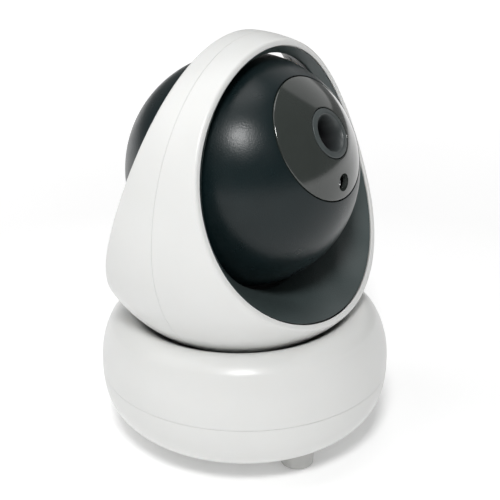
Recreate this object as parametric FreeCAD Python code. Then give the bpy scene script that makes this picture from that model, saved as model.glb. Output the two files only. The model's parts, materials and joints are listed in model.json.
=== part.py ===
import FreeCAD, Part
import math
import os
from FreeCAD import Vector

# Baby monitor camera: a pan-and-tilt ball camera held in an egg-shaped yoke on a round base.
# Millimetres. +Z up, origin on the floor at the centre of the base, lens side towards -Y.

# ---------------------------------------------------------------- driving dimensions
WALL = 2.0                    # moulded wall of the shells
GAP = 0.05                    # radial clearance of a running fit

BASE_R = 44.0                 # widest radius of the base
BASE_WIDE_Z = 25.0            # height of the widest line
BASE_RISE = 31.1              # semi-height of the upper quarter of the outline
BASE_RISE_POWER = 2.16
BASE_DROP = 23.8              # semi-height of the lower quarter of the outline
BASE_DROP_POWER = 2.93
BASE_BOTTOM_Z = 2.6           # underside of the base, above the feet
BASE_SEAM_Z = 22.7            # parting line between cover and shell
BASE_FACING = -21.9           # the base's own front, degrees about Z from -Y
LIP_TOUCH_Z = 39.0            # the rounded edge of the dish leaves the outline at this height
LIP_ROUND = 6.2               # rounding of the dish's edge
LIP_SOLID_Z = 38.0            # the shell is solid above this height, under its rounded edge
FOOT_CIRCLE_R = 30.4
FOOT_R = 5.0
FOOT_H = 7.4
TRIPOD_R = 3.175              # outside radius of the tripod thread

PAN_Y = 1.44                  # the pan axis stands this far behind the base's centre
EGG_R = 46.06                 # widest radius of the yoke's egg
EGG_WIDE_Z = 72.54
EGG_RISE = 52.24              # semi-height above the widest line
EGG_DROP = 43.09              # semi-height below the widest line
EGG_WALL = 1.8
EGG_FLOOR_Z = 31.5            # flat underside of the egg
EGG_PARTING_Y = -1.7          # plane between front and rear yoke shells
DISH_GAP = 0.9                # gap between the egg and the base's dish

# Side outline of the yoke's two openings: Y = offset + slope * dz + bow * dz^2, dz above RIM_Z
RIM_Z = 80.0
FRONT_RIM = (-16.22, 0.359, -0.00456)
REAR_RIM = (12.80, -0.335, 0.0029)
THROAT_TOP = (-6.4, 118.9)    # Y, Z of the front throat's edge at the top
THROAT_FOOT = (-13.4, 51.7)   # Y, Z of the front throat's edge at the bottom

THROAT_RUN_IN = 2.5           # the funnel's cutting shape runs this far into the ball's room

BALL_R = 34.23
BALL_Y = 0.62
BALL_Z = 84.35
BALL_CLEAR = 1.3              # gap between the ball and the liners
BALL_SPLIT_Y = 8.0            # the ball's halves meet this far behind its centre
BALL_SCREW_CIRCLE_R = 29.2
REAR_FLARE = 10.0             # the rear liner's hollow is centred this far behind the ball's
RELIEF_R = 28.6               # two round reliefs thin the top of the hoop behind the ball
RELIEF_PLACE = (8.0, 10.0, 92.0)
LENS_TILT = 28.9              # the lens looks up by this angle at rest
PLATE_ANGLE = 32.5            # half-angle of the face plate, seen from the ball's centre
BEZEL_ANGLE = 12.2            # half-angle of the lens bezel
GROOVE = 0.3                  # visible groove round plate and bezel
SENSOR_DROP = 24.2            # angle of the light sensor's hole below the lens axis
SENSOR_HOLE_R = 2.5
CARD_SLOT_DROP = 78.0         # angle of the memory card slot below the lens axis

PIVOT_R = 4.0                 # tilt trunnion
SPINDLE_R = 8.0               # pan spindle
GEAR_MODULE = 0.5
PAN_GEAR_TEETH = 64
PAN_PINION_TEETH = 14
TILT_GEAR_TEETH = 36
TILT_PINION_TEETH = 12
GEAR_WIDTH = 3.0

# ---------------------------------------------------------------- derived places
BASE_REAR = BASE_FACING + 90.0            # direction of the base's own rear, from +X
FOOT_ANGLES = [BASE_REAR - 60.0, BASE_REAR + 60.0, BASE_REAR + 180.0]
MOTOR_ANGLE = BASE_REAR + 120.0
SPEAKER_ANGLE = BASE_REAR - 120.0
SPEAKER_PLACE_R = 17.0
PAN_CENTRES = GEAR_MODULE * (PAN_GEAR_TEETH + PAN_PINION_TEETH) / 2.0
TILT_CENTRES = GEAR_MODULE * (TILT_GEAR_TEETH + TILT_PINION_TEETH) / 2.0
DISH_FLOOR_Z = EGG_FLOOR_Z - 1.1
YOKE_FLOOR_Z = EGG_FLOOR_Z + 2.2
BOARD_Z = 15.6
BOARD_H = 1.6
PAN_GEAR_Z = 19.4
TILT_GEAR_X = 22.0
ARM_X = 41.3                              # inside of the yoke's arms beside the trunnions

X_AXIS = Vector(1, 0, 0)
Y_AXIS = Vector(0, 1, 0)
Z_AXIS = Vector(0, 0, 1)


# ---------------------------------------------------------------- helpers
def save(shape, name):
    os.makedirs("parts", exist_ok=True)
    shape.exportStep(os.path.join("parts", name + ".step"))


def polar(radius, degrees, z=0.0):
    angle = math.radians(degrees)
    return Vector(radius * math.cos(angle), radius * math.sin(angle), z)


def pan_point(radius, degrees, z=0.0):
    return polar(radius, degrees, z) + Vector(0, PAN_Y, 0)


def cylinder(radius, start, end):
    axis = end - start
    return Part.makeCylinder(radius, axis.Length, start, axis)


def upright(radius, low, high, place=Vector(0, 0, 0)):
    return Part.makeCylinder(radius, high - low, Vector(place.x, place.y, low))


def ring(outer, inner, low, high, place=Vector(0, 0, 0)):
    return upright(outer, low, high, place).cut(upright(inner, low - 1, high + 1, place))


def box(low, high):
    size = Vector(*high) - Vector(*low)
    return Part.makeBox(size.x, size.y, size.z, Vector(*low))


def radial_box(length, width, low, high, start, degrees, centre=Vector(0, 0, 0)):
    """A box that starts at a radius and runs outwards in one direction."""
    block = Part.makeBox(length, width, high - low, Vector(start, -width / 2.0, low))
    block.rotate(Vector(0, 0, 0), Z_AXIS, degrees)
    block.translate(centre)
    return block


def smooth_edge(points, closed=False):
    curve = Part.BSplineCurve()
    curve.interpolate(points, PeriodicFlag=closed)
    return curve.toShape()


def polygon_edges(points):
    return [Part.makeLine(a, b) for a, b in zip(points, points[1:])]


def revolve(edges, place=Vector(0, 0, 0)):
    face = Part.Face(Part.Wire(edges))
    solid = face.revolve(Vector(0, 0, 0), Z_AXIS, 360)
    solid.translate(place)
    return solid


def fuse_all(shapes):
    return shapes[0].fuse(shapes[1:]).removeSplitter()


def group(shapes):
    return Part.makeCompound(shapes)


def spur_gear(teeth, bore_r, low, phase=0.0):
    """A straight-sided spur gear about Z. At phase 0 a tooth points along +X."""
    pitch_r = GEAR_MODULE * teeth / 2.0
    tip_r = pitch_r + 0.9 * GEAR_MODULE
    root_r = pitch_r - 1.2 * GEAR_MODULE
    half_pitch = 180.0 / teeth
    outline = []
    for tooth in range(teeth):
        centre = phase + tooth * 2.0 * half_pitch
        for radius, share in ((root_r, -0.62), (tip_r, -0.2), (tip_r, 0.2), (root_r, 0.62)):
            outline.append(polar(radius, centre + share * half_pitch, low))
    outline.append(outline[0])
    face = Part.Face(Part.Wire(polygon_edges(outline)))
    gear = face.extrude(Vector(0, 0, GEAR_WIDTH))
    return gear.cut(upright(bore_r, low - 1, low + GEAR_WIDTH + 1)) if bore_r else gear


# ---------------------------------------------------------------- base outline
def base_radius(z, inset=0.0):
    """Radius of the base's outline, or of a surface inset from it, at height z."""
    above = z >= BASE_WIDE_Z
    height = (BASE_RISE if above else BASE_DROP) - inset
    power = BASE_RISE_POWER if above else BASE_DROP_POWER
    share = min(abs(z - BASE_WIDE_Z) / height, 1.0)
    return (BASE_R - inset) * (1.0 - share ** power) ** (1.0 / power)


def base_body(low, high, inset=0.0):
    """Solid of revolution under the base's outline between two heights."""
    steps = 12
    heights = [low + (high - low) * (1 - math.cos(math.pi * i / steps)) / 2 for i in range(steps + 1)]
    outline = [Vector(base_radius(z, inset), 0, z) for z in heights]
    side = smooth_edge(outline)
    foot = Part.makeLine(Vector(0, 0, low), outline[0])
    top = Part.makeLine(outline[-1], Vector(0, 0, high))
    axis = Part.makeLine(Vector(0, 0, high), Vector(0, 0, low))
    body = revolve([foot, side, top, axis])
    body.rotate(Vector(0, 0, 0), Z_AXIS, 40)      # its seam line stays clear of the dish's
    return body


# ---------------------------------------------------------------- egg outline
def egg(inset, floor_z):
    """The yoke's egg, inset from its outer surface, cut flat at floor_z."""
    radius = EGG_R - inset
    profile = []
    for height, start, end in ((EGG_RISE - inset, 0, 90), (EGG_DROP - inset, -90, 0)):
        centre = Vector(0, 0, EGG_WIDE_Z)
        if height > radius:
            curve = Part.Ellipse(centre + Vector(0, 0, height), centre + Vector(radius, 0, 0), centre)
            to_parameter = -90.0
        else:
            curve = Part.Ellipse(centre + Vector(radius, 0, 0), centre + Vector(0, 0, height), centre)
            to_parameter = 0.0
        points = [
            Vector(radius * math.cos(math.radians(a)), 0, EGG_WIDE_Z + height * math.sin(math.radians(a)))
            for a in (start, (start + end) / 2.0, end)
        ]
        first = curve.parameter(points[0])
        last = curve.parameter(points[2])
        middle = curve.parameter(points[1])
        low, high = min(first, last), max(first, last)
        if low < middle < high:
            profile.append(Part.Edge(curve, low, high))
        else:
            profile.append(Part.Edge(curve, high, low + 2 * math.pi))
    axis = Part.makeLine(Vector(0, 0, EGG_WIDE_Z - EGG_DROP + inset), Vector(0, 0, EGG_WIDE_Z + EGG_RISE - inset))
    solid = revolve(Part.__sortEdges__(profile + [axis]), Vector(0, PAN_Y, 0))
    return solid.common(box((-60, -60, floor_z), (60, 60, 140)))


def rim_y(rim, z):
    dz = z - RIM_Z
    return rim[0] + rim[1] * dz + rim[2] * dz * dz


def side_block(rim, shift, far_y):
    """Everything between one opening's side outline, moved by shift, and the plane far_y."""
    heights = [20 + 11 * i for i in range(11)]
    curve = smooth_edge([Vector(-60, rim_y(rim, z) + shift, z) for z in heights])
    start = curve.Vertexes[0].Point
    end = curve.Vertexes[-1].Point
    rest = polygon_edges([end, Vector(-60, far_y, end.z), Vector(-60, far_y, start.z), start])
    return Part.Face(Part.Wire([curve] + rest)).extrude(Vector(120, 0, 0))


def front_side(shift=0.0):
    return side_block(FRONT_RIM, shift, EGG_PARTING_Y)


def rear_side(shift=0.0):
    return side_block(REAR_RIM, shift, EGG_PARTING_Y)


# ---------------------------------------------------------------- base parts
def dish(grow, floor_z):
    return egg(-grow, floor_z)


def foot_places():
    return [pan_point(FOOT_CIRCLE_R, angle) for angle in FOOT_ANGLES]


def motor_ears(distance=13.0):
    centre = pan_point(PAN_CENTRES, MOTOR_ANGLE)
    side = polar(distance, MOTOR_ANGLE + 90.0)
    return [centre + side, centre - side]


def board_supports():
    return [polar(23.5, BASE_REAR + 38), polar(23.5, BASE_REAR - 38), polar(22.5, BASE_REAR + 180)]


def lip_body():
    """The base above its seam, its outline carried over a round edge and down into the dish."""
    touch = Vector(base_radius(LIP_TOUCH_Z), 0, LIP_TOUCH_Z)
    out = touch.x ** (BASE_RISE_POWER - 1) / BASE_R ** BASE_RISE_POWER
    up = (LIP_TOUCH_Z - BASE_WIDE_Z) ** (BASE_RISE_POWER - 1) / BASE_RISE ** BASE_RISE_POWER
    start = math.atan2(up, out)
    end = math.radians(150)
    centre = touch - Vector(math.cos(start), 0, math.sin(start)) * LIP_ROUND

    def on_lip(angle):
        return centre + Vector(math.cos(angle), 0, math.sin(angle)) * LIP_ROUND

    heights = [BASE_SEAM_Z + (LIP_TOUCH_Z - BASE_SEAM_Z) * i / 10 for i in range(11)]
    side = smooth_edge([Vector(base_radius(z), 0, z) for z in heights])
    lip = Part.Arc(touch, on_lip((start + end) / 2), on_lip(end)).toShape()
    axis_top = Vector(0, 0, on_lip(end).z)
    axis_low = Vector(0, 0, BASE_SEAM_Z)
    rest = polygon_edges([on_lip(end), axis_top, axis_low, Vector(base_radius(BASE_SEAM_Z), 0, BASE_SEAM_Z)])
    body = revolve([side, lip] + rest)
    body.rotate(Vector(0, 0, 0), Z_AXIS, 40)      # its seam line stays clear of the dish's
    return body


def make_base_shell():
    outer = lip_body()
    inner = base_body(BASE_SEAM_Z - 1, LIP_SOLID_Z, WALL + 0.2)
    hollow = inner.cut(dish(DISH_GAP + WALL, DISH_FLOOR_Z - WALL))
    boss = upright(12.0, 24.4, DISH_FLOOR_Z - 0.5, pan_point(0, 0))
    posts = [upright(3.4, 11.3, 35.5, place) for place in foot_places()]
    shell = outer.cut(hollow).fuse([boss] + posts)
    shell = shell.cut(dish(DISH_GAP, DISH_FLOOR_Z))
    shell = shell.cut(upright(9.4 + 0.02, 20, 40, pan_point(0, 0)))
    for place in foot_places():
        shell = shell.cut(upright(1.45, 10, 23, place))
    return shell.removeSplitter()


def speaker_place():
    return polar(SPEAKER_PLACE_R, SPEAKER_ANGLE)


def grille_holes():
    holes = []
    for count, radius in ((1, 0.0), (6, 3.0), (12, 6.0)):
        for i in range(count):
            place = speaker_place() + polar(radius, 360.0 * i / count)
            holes.append(upright(0.8, 0, 8, place))
    return holes


RESET_PLACE = polar(15.0, BASE_REAR)


def make_bottom_cover():
    body = base_body(BASE_BOTTOM_Z, BASE_SEAM_Z)
    hollow = base_body(BASE_BOTTOM_Z + WALL, BASE_SEAM_Z + 1, WALL + 0.2)
    cover = body.cut(hollow)
    tongue_outer = base_radius(BASE_SEAM_Z, WALL + 0.2) - 0.1
    tongue = ring(tongue_outer, tongue_outer - 1.2, BASE_SEAM_Z - 3, BASE_SEAM_Z + 2)
    root = ring(tongue_outer + 0.5, tongue_outer - 1.2, BASE_SEAM_Z - 5, BASE_SEAM_Z - 0.3)
    extras = [tongue, root, upright(6.5, 4, 11.6)]
    extras += [upright(6.6, 3, 11.2, place) for place in foot_places()]
    extras += [upright(2.6, 4, BOARD_Z - 0.02, place) for place in board_supports()]
    extras += [upright(2.4, 4, 17.6, place) for place in motor_ears()]
    inside = base_body(BASE_BOTTOM_Z, BASE_SEAM_Z, 0.5).fuse(tongue)
    cover = cover.fuse([extra.common(inside) for extra in extras])
    cuts = grille_holes()
    for place in foot_places():
        cuts += [upright(FOOT_R + 0.05, 0, 7.5, place), upright(2.9, 7, 9.0, place), upright(1.5, 8, 12, place)]
    cuts += [upright(1.05, 9, 20, place) for place in board_supports() + motor_ears()]
    cuts += [upright(4.55, 0, 12), upright(2.6, 0, 5.5, RESET_PLACE)]
    cuts.append(radial_box(8, 8.6, 17.0, 20.4, 37.5, BASE_REAR))
    return cover.cut(cuts).removeSplitter()


def make_foot(place):
    foot = upright(FOOT_R, 0, FOOT_H, place)
    bottom = [edge for edge in foot.Edges if edge.BoundBox.ZMax < 0.01]
    return foot.makeFillet(1.2, bottom)


def screw(place, head_z, length, shank_r, head_r, up=True):
    """A pan-head screw. Its head's seat is at head_z and its shank runs up or down from it."""
    way = 1 if up else -1
    shank = cylinder(shank_r, place + Vector(0, 0, head_z), place + Vector(0, 0, head_z + way * length))
    head_low, head_high = sorted((head_z, head_z - way * 1.3))
    head = upright(head_r, head_low, head_high, place)
    slot_low, slot_high = (head_low, head_low + 0.7) if up else (head_high - 0.7, head_high)
    cross = [box((-head_r * 0.6, -0.25, slot_low), (head_r * 0.6, 0.25, slot_high))]
    cross.append(box((-0.25, -head_r * 0.6, slot_low), (0.25, head_r * 0.6, slot_high)))
    for bar in cross:
        bar.translate(Vector(place.x, place.y, 0))
    return shank.fuse(head).cut(cross)


def make_main_board():
    top = BOARD_Z + BOARD_H
    board = upright(26.8, BOARD_Z, top).fuse(radial_box(18, 15, BOARD_Z, top, 20, BASE_REAR))
    cuts = [upright(6.5, 0, 30, pan_point(0, 0)), upright(10.6, 0, 30, pan_point(PAN_CENTRES, MOTOR_ANGLE))]
    cuts.append(radial_box(20, 32, 0, 30, 12, MOTOR_ANGLE, pan_point(0, 0)))
    cuts += [upright(1.1, 0, 30, place) for place in board_supports()]
    cuts += [upright(3.8, 0, 30, place) for place in foot_places()]
    return board.cut(cuts).removeSplitter()


def make_board_chips():
    """Processor, memory, radio and power parts on the underside of the main board."""
    chips = []
    for degrees, radius, size, height in ((22, 15.5, 8, 1.2), (130, 17, 7, 1.0), (248, 14, 6, 1.0), (80, 22, 5, 1.8)):
        chips.append(radial_box(size, size, BOARD_Z - height, BOARD_Z, radius - size / 2.0, degrees))
    return group(chips)


def make_power_socket():
    low = BOARD_Z + BOARD_H
    body = radial_box(7.2, 7.8, low, low + 2.9, 35.6, BASE_REAR)
    mouth = radial_box(6.5, 6.9, low + 0.5, low + 2.4, 37.0, BASE_REAR)
    tongue = radial_box(4.5, 5.0, low + 1.5, low + 2.0, 36.8, BASE_REAR)
    return body.cut(mouth).fuse(tongue)


def make_reset_button():
    cap = upright(2.5, 3.0, 4.7, RESET_PLACE)
    collar = upright(3.5, 4.7, 5.6, RESET_PLACE)
    stem = upright(1.4, 5.6, 11.4, RESET_PLACE)
    return fuse_all([cap, collar, stem])


def make_reset_switch():
    body = radial_box(6, 6, BOARD_Z - 3.2, BOARD_Z, 12, BASE_REAR)
    plunger = upright(1.5, BOARD_Z - 3.6, BOARD_Z - 3.2, RESET_PLACE)
    return body.fuse(plunger)


def make_speaker():
    basket = upright(10.0, 6.0, 8.2, speaker_place())
    basket = basket.cut(upright(8.6, 5, 6.8, speaker_place()))
    magnet = upright(6.5, 8.2, 11.6, speaker_place())
    return basket.fuse(magnet)


def make_wifi_antenna():
    return radial_box(0.8, 22, 25.0, 31.0, 35.8, BASE_REAR - 90)


def make_pan_motor():
    centre = pan_point(PAN_CENTRES, MOTOR_ANGLE)
    body = upright(10.0, 7.0, 17.6, centre)
    flange = upright(10.0, 17.6, 18.2, centre)
    ears = [upright(2.6, 17.62, 18.2, place) for place in motor_ears()]
    bridge = radial_box(26, 4, 17.62, 18.2, -13, MOTOR_ANGLE + 90, centre)
    shaft = upright(1.0, 17.6, 22.2, centre)
    motor = fuse_all([body, flange, bridge, shaft] + ears)
    return motor.cut([upright(1.1, 0, 30, place) for place in motor_ears()])


def make_pan_pinion():
    pinion = spur_gear(PAN_PINION_TEETH, 1.0 + GAP, PAN_GEAR_Z, MOTOR_ANGLE + 180.0)
    pinion.translate(pan_point(PAN_CENTRES, MOTOR_ANGLE))
    return pinion


def make_pan_bush():
    centre = pan_point(0, 0)
    sleeve = ring(9.4, SPINDLE_R, 24.2, DISH_FLOOR_Z + 0.02, centre)
    flange = ring(11.5, SPINDLE_R, DISH_FLOOR_Z + 0.02, DISH_FLOOR_Z + 0.55, centre)
    return sleeve.fuse(flange)


def build_base():
    save(make_base_shell(), "base_shell")
    save(make_bottom_cover(), "base_bottom_cover")
    for number, place in enumerate(foot_places(), 1):
        save(make_foot(place), "foot_%d" % number)
    save(group([screw(place, 9.0, 12.0, 1.4, 2.7) for place in foot_places()]), "base_screws")
    save(make_main_board(), "main_board")
    save(make_board_chips(), "main_board_chips")
    top = BOARD_Z + BOARD_H
    board_screws = [screw(place, top, 6.0, 1.0, 2.0, up=False) for place in board_supports()]
    save(group(board_screws), "board_screws")
    save(make_power_socket(), "power_socket")
    save(make_reset_button(), "reset_button")
    save(make_reset_switch(), "reset_switch")
    save(make_speaker(), "speaker")
    save(make_wifi_antenna(), "wifi_antenna")
    save(make_pan_motor(), "pan_motor")
    save(group([screw(place, 18.2, 6.0, 1.0, 2.0, up=False) for place in motor_ears()]), "pan_motor_screws")
    save(make_pan_pinion(), "pan_pinion")
    save(make_pan_bush(), "pan_bush")
    save(ring(4.5, TRIPOD_R, BASE_BOTTOM_Z, 11.6), "tripod_insert")


# ---------------------------------------------------------------- yoke parts
def ball_centre():
    return Vector(0, BALL_Y, BALL_Z)


def ball_sphere(radius):
    return Part.makeSphere(radius, ball_centre())


THROAT_SLOPE = (THROAT_TOP[0] - THROAT_FOOT[0]) / (THROAT_TOP[1] - THROAT_FOOT[1])


def throat_loop(grow):
    """Edge of the front throat: a leaning plane's cut through the clearance sphere."""
    radius = BALL_R + BALL_CLEAR + grow
    points = []
    for i in range(24):
        angle = 2 * math.pi * i / 24
        low, high = 0.0, 60.0
        for _ in range(40):
            reach = (low + high) / 2.0
            z = BALL_Z + reach * math.cos(angle)
            y = THROAT_FOOT[0] + THROAT_SLOPE * (z - THROAT_FOOT[1])
            outside = math.hypot(reach, y - BALL_Y) > radius
            low, high = (low, reach) if outside else (reach, high)
        points.append(Vector(reach * math.sin(angle), y, z))
    return points


def run_in(near, far):
    """The line from far through near, carried on to a plane behind the throat's."""
    line = near - far
    return near + line * (THROAT_RUN_IN / (line.y - THROAT_SLOPE * line.z))


def rim_loop(inset, forward):
    """Inner edge of the front rim, inset along the radius from the ball's axis."""
    radius = EGG_R - EGG_WALL
    points = []
    for i in range(24):
        angle = 2 * math.pi * i / 24
        low, high = 20.0, 60.0
        for _ in range(40):
            reach = (low + high) / 2.0
            z = BALL_Z + reach * math.cos(angle)
            y = rim_y(FRONT_RIM, z)
            height = (EGG_RISE if z > EGG_WIDE_Z else EGG_DROP) - EGG_WALL
            level = (z - EGG_WIDE_Z) / height
            spread = math.hypot(reach * math.sin(angle), y - PAN_Y) / radius
            outside = level * level + spread * spread > 1.0
            low, high = (low, reach) if outside else (reach, high)
        reach -= inset
        z = BALL_Z + reach * math.cos(angle)
        points.append(Vector(reach * math.sin(angle), rim_y(FRONT_RIM, z) - forward, z))
    return points


def loop_wire(points):
    return Part.Wire([smooth_edge(points, closed=True)])


def front_dish(grow):
    """The funnel between throat and front rim, grown for the liner's back."""
    throat = [point + Vector(0, grow, 0) for point in throat_loop(grow)]
    rim = [point + Vector(0, grow, 0) for point in rim_loop(0.5 - grow, 0.3)]
    behind = [run_in(near, far) for near, far in zip(throat, rim)]
    ahead = [Vector(point.x, -70, point.z) for point in rim]
    return Part.makeLoft([loop_wire(behind), loop_wire(rim), loop_wire(ahead)], True, True)


def yoke_skin():
    return egg(0.0, EGG_FLOOR_Z).cut(egg(EGG_WALL, YOKE_FLOOR_Z))


def spindle_screw_places():
    return [pan_point(10.4, angle) for angle in (45, 135, 225, 315)]


def yoke_screw_places():
    """Two screws below the ball join the yoke's halves. Each is a point on the parting plane."""
    return [Vector(side * 17.0, EGG_PARTING_Y, 41.0) for side in (-1, 1)]


def bored_for_spindle(shell):
    holes = [upright(SPINDLE_R + 0.05, 25, 40, pan_point(0, 0))]
    holes += [upright(0.9, 30, 40, place) for place in spindle_screw_places()]
    return shell.cut(holes)


def make_yoke_front_shell(skin):
    shell = skin.common(front_side())
    inside = egg(0.6, EGG_FLOOR_Z)
    for place in yoke_screw_places():
        boss = cylinder(3.0, place, place + Vector(0, -22, 0)).common(inside)
        shell = shell.fuse(boss).cut(cylinder(1.0, place, place + Vector(0, -10, 0)))
    return bored_for_spindle(shell).removeSplitter()


def make_yoke_rear_shell(skin):
    shell = skin.common(rear_side())
    inside = egg(0.6, EGG_FLOOR_Z)
    for place in yoke_screw_places():
        foot = place + Vector(side_sign(place.x) * 1.0, 0, 0)
        post = box((foot.x - 3, EGG_PARTING_Y, EGG_FLOOR_Z), (foot.x + 3, EGG_PARTING_Y + 4, 44))
        shell = shell.fuse(post.common(inside))
        shell = shell.cut(cylinder(1.25, place, place + Vector(0, 6, 0)))
    return bored_for_spindle(shell.cut(hoop_reliefs())).removeSplitter()


def side_sign(value):
    return 1.0 if value > 0 else -1.0


def pivot_boss():
    """Round bosses in the arms that hold the tilt trunnions."""
    reach = ARM_X + 4
    return cylinder(8.0, Vector(-reach, BALL_Y, BALL_Z), Vector(reach, BALL_Y, BALL_Z))


def pivot_bore(radius):
    return cylinder(radius, Vector(-60, BALL_Y, BALL_Z), Vector(60, BALL_Y, BALL_Z))


def cavity():
    """Room inside the yoke's skin for the liners, above the spindle's flange."""
    return egg(EGG_WALL + 0.1, 37.5)


def make_front_liner():
    room = cavity().common(front_side())
    back = ball_sphere(BALL_R + BALL_CLEAR + 1.6).fuse([front_dish(1.6), pivot_boss()])
    liner = room.common(back).cut(ball_sphere(BALL_R + BALL_CLEAR))
    liner = liner.cut(front_dish(0.0)).cut(pivot_bore(PIVOT_R + 0.02))
    return clear_of_trunnion_heads(liner).cut(hoop_reliefs()).removeSplitter()


def hoop_reliefs():
    x, y, z = RELIEF_PLACE
    return [Part.makeSphere(RELIEF_R, Vector(side * x, y, z)) for side in (-1, 1)]


def rear_hollow(grow):
    """The rear liner's flared hollow. It meets the front liner's at the parting plane."""
    behind = BALL_Y - EGG_PARTING_Y
    radius = BALL_R + BALL_CLEAR
    flared = math.sqrt(radius ** 2 - behind ** 2 + (behind + REAR_FLARE) ** 2)
    return Part.makeSphere(flared + grow, ball_centre() + Vector(0, REAR_FLARE, 0))


def make_rear_liner():
    room = cavity().common(rear_side(-0.7))
    plate = room.cut(rear_side(-2.5))
    back = room.common(rear_hollow(1.6).fuse(pivot_boss()))
    liner = plate.fuse(back)
    liner = liner.cut([rear_hollow(0.0), pivot_bore(PIVOT_R + 0.02)])
    return clear_of_trunnion_heads(liner).cut(hoop_reliefs()).removeSplitter()


def clear_of_trunnion_heads(liner):
    for side in (-1, 1):
        inner = Vector(side * (ARM_X - 1.45), BALL_Y, BALL_Z)
        outer = Vector(side * 60, BALL_Y, BALL_Z)
        liner = liner.cut(cylinder(5.65, inner, outer))
    return liner


def make_trunnion(side, inner_x):
    """A headed hollow pin, fixed in the arm, that the ball turns on."""
    head_x = ARM_X - 1.4
    pin = cylinder(PIVOT_R, Vector(side * inner_x, BALL_Y, BALL_Z), Vector(side * head_x, BALL_Y, BALL_Z))
    head = cylinder(5.6, Vector(side * head_x, BALL_Y, BALL_Z), Vector(side * ARM_X, BALL_Y, BALL_Z))
    return pin.fuse(head).cut(pivot_bore(2.4))


def make_spindle():
    centre = pan_point(0, 0)
    tube = ring(SPINDLE_R - GAP, 5.0, 18.3, YOKE_FLOOR_Z + 0.02, centre)
    flange = ring(12.4, 5.0, YOKE_FLOOR_Z + 0.02, YOKE_FLOOR_Z + 1.9, centre)
    spindle = tube.fuse(flange)
    return spindle.cut([upright(1.1, 30, 40, place) for place in spindle_screw_places()])


def make_pan_gear():
    gear = spur_gear(PAN_GEAR_TEETH, SPINDLE_R, PAN_GEAR_Z, MOTOR_ANGLE + 180.0 / PAN_GEAR_TEETH)
    hub = ring(10.6, SPINDLE_R, PAN_GEAR_Z + GEAR_WIDTH, 24.1)
    gear = gear.fuse(hub)
    gear.translate(pan_point(0, 0))
    return gear


def make_tilt_gear():
    gear = spur_gear(TILT_GEAR_TEETH, PIVOT_R + 0.02, 0.0)
    return place_on_tilt_axis(gear, TILT_GEAR_X)


def place_on_tilt_axis(shape, x):
    """Turns a part built about Z so that it lies about the tilt axis, its low end at x."""
    shape.rotate(Vector(0, 0, 0), Y_AXIS, 90)
    shape.rotate(Vector(0, 0, 0), X_AXIS, 90 - LENS_TILT)
    shape.translate(ball_centre() + Vector(x, 0, 0))
    return shape


def yoke_screw(place):
    seat = place + Vector(0, 4.02, 0)
    shank = cylinder(0.95, seat, seat + Vector(0, -11, 0))
    head = cylinder(2.1, seat, seat + Vector(0, 1.4, 0))
    return shank.fuse(head)


def build_yoke():
    skin = yoke_skin()
    save(make_yoke_front_shell(skin), "yoke_front_shell")
    save(make_yoke_rear_shell(skin), "yoke_rear_shell")
    save(make_front_liner(), "yoke_front_liner")
    save(make_rear_liner(), "yoke_rear_liner")
    save(group([yoke_screw(place) for place in yoke_screw_places()]), "yoke_screws")
    save(make_spindle(), "pan_spindle")
    seats = [screw(place, YOKE_FLOOR_Z + 1.9, 3.6, 0.85, 1.7, up=False) for place in spindle_screw_places()]
    save(group(seats), "spindle_screws")
    washer = ring(12.5, SPINDLE_R + 0.05, DISH_FLOOR_Z + 0.6, EGG_FLOOR_Z, pan_point(0, 0))
    save(washer, "pan_thrust_washer")
    save(make_pan_gear(), "pan_gear")
    save(ring(10.0, SPINDLE_R, 18.4, PAN_GEAR_Z, pan_point(0, 0)), "pan_retaining_ring")
    save(make_trunnion(1, 21.4), "tilt_trunnion_right")
    save(make_trunnion(-1, 29.5), "tilt_trunnion_left")
    save(make_tilt_gear(), "tilt_gear")


# ---------------------------------------------------------------- ball parts
# They are built about the ball's centre with the lens axis along -Y, then tilted into place.
def place_in_ball(shape):
    shape.rotate(Vector(0, 0, 0), X_AXIS, -LENS_TILT)
    shape.translate(ball_centre())
    return shape


def forward(radius, near, far, drop=0.0):
    """A cylinder along the lens axis, from near to far, or along a line dropped below it."""
    solid = cylinder(radius, Vector(0, -near, 0), Vector(0, -far, 0))
    solid.rotate(Vector(0, 0, 0), X_AXIS, drop)
    return solid


def sphere_skin(outer, inner):
    return Part.makeSphere(outer).cut(Part.makeSphere(inner))


def half_space(front):
    if front:
        return box((-50, -50, -50), (50, BALL_SPLIT_Y, 50))
    return box((-50, BALL_SPLIT_Y + 0.1, -50), (50, 50, 50))


def ball_screw_places():
    reach = BALL_SCREW_CIRCLE_R / math.sqrt(2)
    return [Vector(x * reach, BALL_SPLIT_Y, z * reach) for x in (-1, 1) for z in (-1, 1)]


PLATE_R = BALL_R * math.sin(math.radians(PLATE_ANGLE))
BEZEL_R = BALL_R * math.sin(math.radians(BEZEL_ANGLE))


def make_ball_front_shell():
    shell = sphere_skin(BALL_R, BALL_R - WALL)
    ledge = sphere_skin(BALL_R - 1.85, BALL_R - 3.6).common(forward(PLATE_R + 2.5, 10, 40))
    shell = shell.cut(forward(PLATE_R, 10, 40)).fuse(ledge).cut(forward(PLATE_R - 1.8, 10, 40))
    shell = shell.common(half_space(True))
    room = Part.makeSphere(BALL_R - 0.5)
    for place in ball_screw_places():
        boss = cylinder(2.7, place, place + Vector(0, -12, 0)).common(room)
        shell = shell.fuse(boss).cut(cylinder(1.0, place, place + Vector(0, -8, 0)))
    slot = box((-6.2, -40, -0.9), (6.2, -28, 0.9))
    scoop = box((-7.6, -40, -1.9), (7.6, -BALL_R + 0.6, 1.9))
    for cut in (slot, scoop):
        cut.rotate(Vector(0, 0, 0), X_AXIS, CARD_SLOT_DROP)
        shell = shell.cut(cut)
    return shell.cut(bush_bore()).removeSplitter()


def bush_bore():
    return cylinder(6.02, Vector(-50, 0, 0), Vector(50, 0, 0))


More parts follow.
